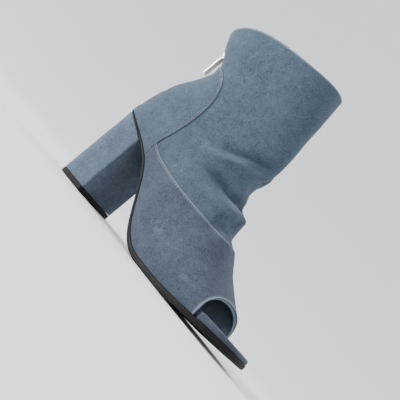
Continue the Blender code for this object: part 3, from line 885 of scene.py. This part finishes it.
def woven(name, colour, light):
    """Woven zip tape: crossing threads."""
    graph = Finish(name, Roughness=0.88, Specular_IOR_Level=0.2)
    place = graph.place()
    warp = graph.node("ShaderNodeTexWave", {"Vector": place, "Scale": 420.0, "Distortion": 0.6},
                      bands_direction="Y")
    weft = graph.node("ShaderNodeTexWave", {"Vector": place, "Scale": 380.0, "Distortion": 0.6},
                      bands_direction="Z")
    threads = warp * 0.5 + weft * 0.5
    graph.finish("Base Color", graph.mix(threads, colour, light))
    graph.bump(threads, 0.5, 0.0002)
    return graph.material


def brushed_metal(name, colour):
    """Worn nickel with fine brushing and faint smears."""
    graph = Finish(name, Metallic=1.0)
    place = graph.place()
    brushing = graph.noise(place, 3000.0, 2.0)
    smears = graph.noise(place, 220.0, 4.0)
    graph.finish("Base Color", graph.mix(smears * 0.7, colour, (0.30, 0.30, 0.31, 1.0)))
    graph.finish("Roughness", 0.24 + smears * 0.2 + brushing * 0.08)
    graph.bump(brushing, 0.15, 0.0001)
    return graph.material


def plain(name, colour, roughness, tone=0.25):
    """A plain, slightly uneven finish for thread, coil and the stage."""
    graph = Finish(name, Roughness=roughness, Specular_IOR_Level=0.2)
    uneven = graph.noise(graph.place(), 500.0, 3.0)
    darker = tuple(value * 0.6 for value in colour[:3]) + (1.0,)
    graph.finish("Base Color", graph.mix(uneven * tone * 2.0, colour, darker))
    return graph.material


def made_once(name, make, *given):
    """The named material, made the first time it is asked for."""
    return bpy.data.materials.get(name) or make(name, *given)


def opaque(colour, tones=(1.0, 1.0, 1.0)):
    """A colour of the panel, toned channel by channel, as a material takes it."""
    return (*[value * tone for value, tone in zip(colour, tones)], 1.0)


def suede_for(look, name):
    """The suede of one panel, toned lighter or darker by painted light and shade."""
    # Painted light and shade: the whole panel's suede made lighter or darker
    dark = opaque(look.suede_dark, PANEL_LIGHT_AND_SHADE[name])
    light = opaque(look.suede_light, PANEL_LIGHT_AND_SHADE[name])
    return made_once(name, suede, dark, light, opaque(look.raw_edge))


def sole_rubber(look):
    return made_once("sole rubber", rubber, opaque(look.sole_black), tint(26, 26, 27))


def bead_group():
    """Geometry Nodes: small rounded bodies set evenly along lines, each lying along the line's lay."""
    group = bpy.data.node_groups.new("beads along lines", "GeometryNodeTree")
    for label, kind, start in (
        ("Lines", "Geometry", None),
        ("Pitch", "Float", STITCH_PITCH),
        ("Length", "Float", STITCH_PITCH * STITCH_SHARE),
        ("Width", "Float", THREAD_WIDTH),
        ("Uneven", "Float", BEAD_UNEVEN),
        ("Seed", "Int", BEAD_SEED),
        ("Material", "Material", None),
    ):
        socket = group.interface.new_socket(label, in_out="INPUT", socket_type="NodeSocket" + kind)
        if start is not None:
            socket.default_value = start
    group.interface.new_socket("Beads", in_out="OUTPUT", socket_type="NodeSocketGeometry")
    graph = Graph(group)
    asked = {socket.name: Wire(graph, socket) for socket in graph.nodes.new("NodeGroupInput").outputs}
    curve = graph.node("GeometryNodeMeshToCurve", {"Mesh": asked["Lines"]})
    dots = graph.node("GeometryNodeCurveToPoints", {"Curve": curve, "Length": asked["Pitch"]}, mode="LENGTH")
    ball = graph.node("GeometryNodeMeshUVSphere", {"Segments": 8, "Rings": 5, "Radius": 0.5})
    smooth_ball = graph.node("GeometryNodeSetShadeSmooth", {0: ball})
    sides = {"X": asked["Width"], "Y": asked["Width"], "Z": asked["Length"]}
    shape = graph.node("ShaderNodeCombineXYZ", sides)
    sized = graph.node("GeometryNodeTransform", {"Geometry": smooth_ball, "Scale": shape})
    lay = graph.node("GeometryNodeInputNamedAttribute", {"Name": "lay"}, data_type="FLOAT_VECTOR")
    turn = graph.node("FunctionNodeAlignRotationToVector", {"Vector": lay}, axis="Z")
    sizes = {2: 1.0 - asked["Uneven"], 3: 1.0, "Seed": asked["Seed"]}
    spread = graph.node("FunctionNodeRandomValue", sizes, output=1)
    values = {"Points": dots, "Instance": sized, "Rotation": turn, "Scale": spread}
    set_out = graph.node("GeometryNodeInstanceOnPoints", values)
    solid = graph.node("GeometryNodeRealizeInstances", {"Geometry": set_out})
    painted = graph.node("GeometryNodeSetMaterial", {"Geometry": solid, "Material": asked["Material"]})
    graph.feed(graph.nodes.new("NodeGroupOutput").inputs["Beads"], painted)
    return group


def beads(name, lines, lays, material, pitch, length, width, uneven=BEAD_UNEVEN):
    """A plain mesh of beads along lines, such as stitches or zip teeth."""
    mesh = bpy.data.meshes.new(name)
    points = []
    edges = []
    directions = []
    for line, lay in zip(lines, lays):
        first = len(points)
        points += [(p[0] - ORIGIN_X, p[1], p[2]) for p in line]
        edges += [(i, i + 1) for i in range(first, len(points) - 1)]
        directions += [tuple(d) for d in lay]
    mesh.from_pydata(points, edges, [])
    stored = mesh.attributes.new("lay", "FLOAT_VECTOR", "POINT")
    stored.data.foreach_set("vector", np.array(directions, np.float32).ravel())
    item = linked(name, mesh)
    group = bpy.data.node_groups.get("beads along lines") or bead_group()
    step = item.modifiers.new("beads", "NODES")
    step.node_group = group
    given = {"Pitch": pitch, "Length": length, "Width": width, "Uneven": uneven}
    given.update({"Seed": BEAD_SEED, "Material": material})
    for socket in group.interface.items_tree:
        if socket.in_out == "INPUT" and socket.name in given:
            step[socket.identifier] = given[socket.name]
    bake_modifiers(item)
    if not item.data.polygons:
        raise RuntimeError(f"{name} has no beads")
    return item


def directions_along(line):
    return unit(np.gradient(np.asarray(line), axis=0))


def surface_lookup(grid, normals):
    """A function that gives the nearest point of the boot's surface, and the direction out of it."""
    flat = grid.reshape(-1, 3)
    outward = normals.reshape(-1, 3)
    tree = search_tree(flat)

    def lookup(place):
        index = tree.find(Vector(place))[1]
        return flat[index], outward[index]

    return lookup


def seam_runs(item, line, lift):
    """A seam drawn in the side view, laid on both sides of a piece, as lines of points."""
    bpy.context.view_layer.update()
    tree = BVHTree.FromObject(item, bpy.context.evaluated_depsgraph_get())
    runs = []
    for side in (-1, 1):
        run = []
        for x, z in line:
            start = (x - ORIGIN_X, side * RAY_FROM, z)
            hit, normal, _, _ = tree.ray_cast(start, (0, -side, 0))
            facing = hit is not None and normal.y * side > FACING and hit.y * side > -MIDDLE_SLACK
            if facing:
                run.append(np.array(hit + normal * lift) + (ORIGIN_X, 0, 0))
            else:
                runs.append(run)
                run = []
        runs.append(run)
    return [run for run in runs if len(run) > 3]


def moved_in(line, distance):
    """A line in the side view, moved to its left by a distance."""
    step = directions_along(line)
    return line + np.column_stack([-step[:, 1], step[:, 0]]) * distance


def in_metres(table):
    return np.array([(x * LAST_LENGTH, z * SHAFT_HEIGHT) for x, z in table])


def vamp_seam():
    return spline(in_metres(VAMP_SEAM), 90)


def counter_seam():
    return spline(in_metres(COUNTER_SEAM), 110)


def vamp_outline():
    far = in_metres([(0.660, 0.420), (1.000, 0.420), (1.000, -0.050), (0.2195, -0.050), (0.2195, 0.240)])
    return np.vstack([vamp_seam(), far])


def counter_outline():
    far = in_metres([(0.2165, -0.050), (-0.200, -0.050), (-0.200, 0.785)])
    return np.vstack([counter_seam(), far])


def sole_stations(count):
    """Places along the sole, closer together round the heel back and the toe."""
    even = (1 - np.cos(np.linspace(0, math.pi, count))) / 2
    mixed = (1 - EVEN_SHARE) * even + EVEN_SHARE * np.linspace(0, 1, count)
    return HEEL_BACK + (TOE_TIP - HEEL_BACK) * mixed


def footbed_inset(x):
    """How far the footbed stays inside the sole's outline: less of it ahead of the toe opening."""
    inside = SOLE_MARGIN + WALL + FOOTBED_PLAY
    start = SECTIONS[0][2] * LAST_LENGTH + FOOTBED_WIDENS_FROM
    share = np.clip((x - start) / FOOTBED_WIDENS_OVER, 0, 1)
    return float(inside + (FOOTBED_SHOWN_INSET - inside) * share)


def heel_half(x, side):
    """Half width of the heel: round at the back, small rounded corners at the breast."""
    back = np.clip((HEEL_ROUND_TO - x) / (HEEL_ROUND_TO - HEEL_FRONT_OF_BACK), 0, 1)
    corner = np.clip((x - HEEL_BREAST + HEEL_CORNER) / HEEL_CORNER, 0, 1)
    round_back = (1 - back ** HEEL_POWER) ** (1 / HEEL_POWER)
    half = HEEL_HALF_WIDTH * round_back - HEEL_CORNER * (1 - math.sqrt(1 - corner ** 2))
    return max(float(half), SMALLEST_HALF)


def level(height):
    """A height that is the same all along."""
    return lambda x: height


def heel_stations():
    turn = 1 - np.cos(np.linspace(0, math.pi / 2, 40))
    back = HEEL_FRONT_OF_BACK + (HEEL_ROUND_TO - HEEL_FRONT_OF_BACK) * turn
    front = np.linspace(HEEL_ROUND_TO, HEEL_BREAST - HEEL_CORNER, 12)[1:]
    corner = HEEL_BREAST - HEEL_CORNER * (1 - np.sin(np.linspace(0, math.pi / 2, 8)))[1:]
    return np.concatenate([back, front, corner])


def back_line(count):
    """The centre back from the foot of the zip to the notch under the collar."""
    ks = np.linspace(ZIP_FROM, len(SECTIONS) - 1, count)
    x = LAST_LENGTH * at_section(2, ks)
    z = SHAFT_HEIGHT * at_section(3, ks)
    return np.column_stack([x, np.zeros(count), z])


def out_of_back(line):
    """Directions out of the boot's back along its centre line."""
    along = directions_along(line)
    return np.column_stack([-along[:, 2], np.zeros(len(line)), along[:, 0]])


def bowl_floor(reach):
    """A round, level floor that curves up all round into a wall, so that no horizon shows."""
    turn = np.linspace(0, math.pi / 2, 24)
    radii = [FLOOR_MIDDLE] + [reach * share for share in (0.25, 0.5, 0.75)]
    heights = [0.0] * len(radii) + list(FLOOR_BEND * (1 - np.cos(turn)))
    radii += list(reach + FLOOR_BEND * np.sin(turn))
    radii.append(radii[-1])
    heights.append(FLOOR_TOP)
    points = []
    for radius, height in zip(radii, heights):
        for angle in np.linspace(0, 2 * math.pi, FLOOR_SIDES, endpoint=False):
            points.append((radius * math.cos(angle), radius * math.sin(angle), height))
    faces = [list(range(FLOOR_SIDES))]
    for k in range(len(radii) - 1):
        for j in range(FLOOR_SIDES):
            a = k * FLOOR_SIDES + j
            b = k * FLOOR_SIDES + (j + 1) % FLOOR_SIDES
            faces.append([a, b, b + FLOOR_SIDES, a + FLOOR_SIDES])
    mesh = bpy.data.meshes.new("floor")
    mesh.from_pydata(points, [], faces)
    mesh.shade_smooth()
    return linked("floor", mesh)


def photo_camera(lens):
    """The camera where the photo was taken from, rolled as there, turned to centre this one boot."""
    data = bpy.data.cameras.new("photo camera")
    data.lens = lens * 1000
    data.sensor_width = 36.0
    data.clip_start = 0.01
    camera = linked("photo camera", data)
    right = Vector(CAMERA_RIGHT)
    ahead, across, over = BOOT_IN_VIEW
    look = (Vector(CAMERA_FORWARD) * ahead + right * across + Vector(CAMERA_UP) * over).normalized()
    right = (right - look * right.dot(look)).normalized()
    up = right.cross(look)
    turned = Matrix((right, up, -look)).transposed().to_4x4()
    x, y, z = CAMERA_PLACE
    turned.translation = Vector((x - ORIGIN_X, y, z))
    camera.matrix_world = turned
    return camera


class BootShape(PropertyGroup):
    """Sizes of what is sewn and folded."""

    fold_size: FloatProperty(
        name="Fold size",
        description="How strong the folds of the shaft are",
        default=1.0,
        min=0.0,
        max=2.0,
        subtype="FACTOR",
    )
    stitch_pitch: FloatProperty(
        name="Stitch pitch",
        description="Distance from one stitch to the next",
        default=STITCH_PITCH,
        min=0.001,
        max=0.006,
        unit="LENGTH",
    )
    thread_width: FloatProperty(
        name="Thread width",
        description="Thickness of the sewing thread",
        default=THREAD_WIDTH,
        min=0.0002,
        max=0.001,
        unit="LENGTH",
    )
    rim_width: FloatProperty(
        name="Raw edge width",
        description="How far the pale raw edge shows from the rim",
        default=0.0008,
        min=0.0002,
        max=0.004,
        unit="LENGTH",
    )


# Range and kind of every colour in the panel
COLOUR = {"min": 0.0, "max": 1.0, "subtype": "COLOR"}


class BootLook(PropertyGroup):
    """Colours of the boot."""

    suede_dark: FloatVectorProperty(
        name="Suede, brushed down",
        description="Darker tone of the nap",
        default=tint(40, 49, 60)[:3],
        **COLOUR,
    )
    suede_light: FloatVectorProperty(
        name="Suede, brushed up",
        description="Lighter tone of the nap",
        default=tint(82, 94, 107)[:3],
        **COLOUR,
    )
    # Also the colour of the painted highlight along the overlays' seam cuts
    raw_edge: FloatVectorProperty(
        name="Raw edge",
        description="Cut edges and worn spots",
        default=tint(138, 147, 157)[:3],
        **COLOUR,
    )
    lining_pale: FloatVectorProperty(
        name="Lining",
        description="Lining leather round the back of the shaft",
        default=tint(128, 143, 158)[:3],
        **COLOUR,
    )
    lining_deep: FloatVectorProperty(
        name="Lower lining",
        description="Lining below the slanted seam",
        default=tint(66, 76, 90)[:3],
        **COLOUR,
    )
    sole_black: FloatVectorProperty(
        name="Sole",
        description="Rubber of the sole and the heel's top piece",
        default=tint(7, 7, 8)[:3],
        **COLOUR,
    )


class BootStage(PropertyGroup):
    """Floor, light and camera."""

    key_power: FloatProperty(
        name="Key light",
        description="Power of the large soft light beside the boot",
        default=62.0,
        min=0.0,
        max=500.0,
        unit="POWER",
    )
    fill_power: FloatProperty(
        name="Fill light",
        description="Power of the weaker lights in front and above",
        default=10.0,
        min=0.0,
        max=500.0,
        unit="POWER",
    )
    room_light: FloatProperty(
        name="Room light",
        description="Strength of the even light from all round",
        default=1.2,
        min=0.0,
        max=4.0,
    )
    lens: FloatProperty(
        name="Lens",
        description="Focal length of the camera",
        default=0.0842,
        min=0.02,
        max=0.3,
        unit="CAMERA",
    )
    floor_reach: FloatProperty(
        name="Floor reach",
        description="How far the level part of the floor reaches",
        default=0.95,
        min=0.3,
        max=6.0,
        unit="LENGTH",
    )


class BOOT_OT_upper(Operator):
    """Build the suede upper and its lining, with the folds of the shaft"""

    bl_idname = "boot.make_upper"
    bl_label = "Upper and lining"

    def execute(self, context):
        shape = context.scene.boot_shape
        look = context.scene.boot_look
        grid, normals = boot_surface(shape.fold_size)
        inner = above_sole(grid - normals * SUEDE_LAYER)
        upper = shell("suede_upper", grid, inner)
        places = vertex_places(upper)
        store(upper, "rim", rim_amount(places, grid, shape.rim_width))
        store(upper, "worn", scuff_amount(places))
        # Fold heights, for the painted highlight on ridges and painted shade in troughs
        store(upper, "fold_light_and_shade", fold_heights(places, shape.fold_size) * FOLD_PAINTED_LIGHT_SCALE)
        finish_piece(upper, suede_for(look, "upper suede"), ["upper"])
        outer = above_sole(grid - normals * (SUEDE_LAYER + LAYER_GAP))
        inner = above_sole(grid - normals * WALL)
        colours = (opaque(look.lining_pale), opaque(look.lining_deep))
        finish_piece(shell("lining", outer, inner), made_once("lining leather", lining_leather, *colours))
        return {"FINISHED"}


class BOOT_OT_overlays(Operator):
    """Build the vamp and the heel counter, sewn on the upper along their seams"""

    bl_idname = "boot.make_overlays"
    bl_label = "Vamp and counter"

    def execute(self, context):
        shape = context.scene.boot_shape
        grid, normals = boot_surface(shape.fold_size)
        lookup = surface_lookup(grid, normals)
        outer = above_sole(grid + normals * (OVERLAY_GAP + OVERLAY))
        inner = above_sole(grid + normals * OVERLAY_GAP)
        for name, outline, seam in (
            ("vamp", vamp_outline(), vamp_seam()),
            ("counter", counter_outline(), counter_seam()),
        ):
            item = shell("suede_" + name, outer, inner)
            cut_to_outline(item, outline)
            lower_edge(item, seam, lookup)
            places = vertex_places(item)
            away, _ = to_line(places[:, [0, 2]], seam)
            rim = rim_amount(places, outer, shape.rim_width)
            # Raw edges, plus a painted highlight along the seam cut
            store(item, "rim", np.maximum(rim, CUT_HIGHLIGHT * np.exp(-(away / CUT_HIGHLIGHT_WIDTH) ** 2)))
            store(item, "worn", scuff_amount(places))
            # Fold heights, for the painted highlight on ridges and painted shade in troughs
            store(item, "fold_light_and_shade", fold_heights(places, shape.fold_size) * FOLD_PAINTED_LIGHT_SCALE)
            finish_piece(item, suede_for(context.scene.boot_look, name + " suede"), [name])
        return {"FINISHED"}


class BOOT_OT_sole(Operator):
    """Build the footbed with its wrapped edge, and the thin black outsole"""

    bl_idname = "boot.make_sole"
    bl_label = "Sole and footbed"

    def execute(self, context):
        look = context.scene.boot_look
        stations = sole_stations(150)

        def outsole_half(x, side):
            return max(float(outline_half(x, side, 0.0)), SMALLEST_HALF)

        sole = slab("rubber_outsole", stations, outsole_half, sole_underside, feather_height, OUTSOLE_EDGES,
                    columns=15)
        finish_piece(sole, sole_rubber(look), ["outsole"])
        start = HEEL_BACK + footbed_inset(0.0)
        end = TOE_TIP - footbed_inset(TOE_TIP)
        inside = start + (end - start) * (stations - stations[0]) / (stations[-1] - stations[0])

        def footbed_half(x, side):
            return max(float(outline_half(x, side, footbed_inset(x))), SMALLEST_HALF)

        def footbed_low(x):
            return feather_height(x) + GAP

        def footbed_high(x):
            return feather_height(x) + GAP + footbed_thickness(x)

        footbed = slab("covered_footbed", inside, footbed_half, footbed_low, footbed_high, FOOTBED_EDGES,
                       columns=21)
        finish_piece(footbed, suede_for(look, "footbed suede"), ["footbed"])
        return {"FINISHED"}


class BOOT_OT_heel(Operator):
    """Build the suede heel block and its black top piece"""

    bl_idname = "boot.make_heel"
    bl_label = "Heel"

    def execute(self, context):
        look = context.scene.boot_look
        stations = heel_stations()

        def block_high(x):
            return sole_underside(x) - GAP

        block = slab("covered_heel", stations, heel_half, level(TOP_PIECE + GAP), block_high, HEEL_EDGES,
                     slant=BREAST_SLANT)
        finish_piece(block, suede_for(look, "heel suede"), ["heel_block"])
        piece = slab("rubber_top_piece", stations, heel_half, level(0.0), level(TOP_PIECE), TOP_PIECE_EDGES,
                     slant=BREAST_SLANT)
        finish_piece(piece, sole_rubber(look), ["heel_top_piece"])
        return {"FINISHED"}


class BOOT_OT_zip(Operator):
    """Dress the zip: woven tape, coil teeth, and worn metal on the slider and its pull"""

    bl_idname = "boot.make_zip"
    bl_label = "Zip"

    def execute(self, context):
        line = back_line(400)
        out = out_of_back(line)
        low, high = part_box("zip_chain")
        kept = (line[:, 2] > low.z + COIL_MARGIN) & (line[:, 2] < high.z - COIL_MARGIN)
        if not kept.any():
            raise RuntimeError("the zip's line doesn't meet its chain")
        lines = []
        lays = []
        for side in (-1, 1):
            lines.append(line[kept] - out[kept] * (WALL * COIL_DEPTH) + (0, side * COIL_APART, 0))
            lays.append(np.tile((0, 1.0, side * COIL_TILT), (int(kept.sum()), 1)))
        coil = made_once("zip coil", plain, tint(70, 78, 90), 0.45)
        teeth = beads("zip_teeth", lines, lays, coil, COIL_PITCH, COIL_LENGTH, COIL_WIDTH, COIL_UNEVEN)
        finish_piece(teeth, coil, ["zip_chain"])
        cloth = made_once("zip cloth", woven, tint(40, 46, 56), tint(66, 74, 86))
        metal = made_once("worn nickel", brushed_metal, (0.56, 0.56, 0.55, 1.0))
        for node, material in (("zip_tape", cloth), ("zip_slider", metal), ("zip_pull", metal)):
            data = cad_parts[node].data
            data.materials.clear()
            data.materials.append(material)
        return {"FINISHED"}


class BOOT_OT_stitches(Operator):
    """Sew the seams: two rows inside the counter's edge, one on the vamp, and the rows beside the zip"""

    bl_idname = "boot.make_stitches"
    bl_label = "Stitches"

    def execute(self, context):
        shape = context.scene.boot_shape
        grid, normals = boot_surface(shape.fold_size)
        lift = shape.thread_width * THREAD_LIFT
        runs = []
        for name, seam, insets in (
            ("counter", counter_seam(), COUNTER_ROWS),
            ("vamp", vamp_seam(), VAMP_ROWS),
        ):
            for inset in insets:
                runs += seam_runs(bpy.data.objects["suede_" + name], moved_in(seam, inset), lift)
        open_rows = np.flatnonzero(section_places(ROWS) > ZIP_FROM + ZIP_ROWS_FROM)
        for column_number in ZIP_ROWS:
            side_line = grid[open_rows, column_number] + normals[open_rows, column_number] * lift
            runs.append(list(side_line))
        if not runs:
            raise RuntimeError("no seam was found to sew")
        thread = made_once("thread", plain, tint(92, 104, 118), 0.8)
        lays = [directions_along(run) for run in runs]
        length = shape.stitch_pitch * STITCH_SHARE
        sewn = beads("stitches", runs, lays, thread, shape.stitch_pitch, length, shape.thread_width)
        finish_piece(sewn, thread)
        return {"FINISHED"}


class BOOT_OT_stage(Operator):
    """Set the pale floor, the soft lights and the camera"""

    bl_idname = "boot.make_stage"
    bl_label = "Stage"

    def execute(self, context):
        stage = context.scene.boot_stage
        floor = bowl_floor(stage.floor_reach)
        floor.data.materials.append(made_once("floor", plain, tint(244, 244, 245), 0.9, 0.01))
        aim = Vector(BOOT_MIDDLE)
        for name, place, power, share, size in LIGHTS:
            light = bpy.data.lights.new(name, "AREA")
            light.energy = getattr(stage, power) * share
            light.size = size
            lamp = linked(name, light)
            lamp.location = place
            lamp.rotation_euler = (aim - Vector(place)).to_track_quat("-Z", "Y").to_euler()
        world = bpy.data.worlds.new("room")
        world.use_nodes = True
        background = world.node_tree.nodes["Background"]
        background.inputs["Color"].default_value = ROOM_COLOUR
        background.inputs["Strength"].default_value = stage.room_light
        context.scene.world = world
        context.scene.camera = photo_camera(stage.lens)
        return {"FINISHED"}


class BOOT_PT_panel(Panel):
    """The boot's settings and steps"""

    bl_label = "Boot"
    bl_space_type = "VIEW_3D"
    bl_region_type = "UI"
    bl_category = "Boot"

    def draw(self, context):
        scene = context.scene
        groups = (("Shape", scene.boot_shape), ("Look", scene.boot_look), ("Stage", scene.boot_stage))
        for label, group in groups:
            box = self.layout.box()
            box.label(text=label)
            for name in group.__annotations__:
                box.prop(group, name)
        for step in STEPS:
            self.layout.operator(step.bl_idname)


STEPS = (
    BOOT_OT_upper,
    BOOT_OT_overlays,
    BOOT_OT_sole,
    BOOT_OT_heel,
    BOOT_OT_zip,
    BOOT_OT_stitches,
    BOOT_OT_stage,
)
GROUPS = (BootShape, BootLook, BootStage)


def register():
    for group in GROUPS:
        bpy.utils.register_class(group)
    for step in STEPS:
        bpy.utils.register_class(step)
    bpy.utils.register_class(BOOT_PT_panel)
    bpy.types.Scene.boot_shape = PointerProperty(type=BootShape)
    bpy.types.Scene.boot_look = PointerProperty(type=BootLook)
    bpy.types.Scene.boot_stage = PointerProperty(type=BootStage)


def unregister():
    del bpy.types.Scene.boot_stage
    del bpy.types.Scene.boot_look
    del bpy.types.Scene.boot_shape
    bpy.utils.unregister_class(BOOT_PT_panel)
    for step in reversed(STEPS):
        bpy.utils.unregister_class(step)
    for group in reversed(GROUPS):
        bpy.utils.unregister_class(group)


def main():
    register()
    bpy.ops.boot.make_upper()
    bpy.ops.boot.make_overlays()
    bpy.ops.boot.make_sole()
    bpy.ops.boot.make_heel()
    bpy.ops.boot.make_zip()
    bpy.ops.boot.make_stitches()
    bpy.ops.boot.make_stage()
    bpy.context.view_layer.update()


if __name__ == "__main__":
    main()
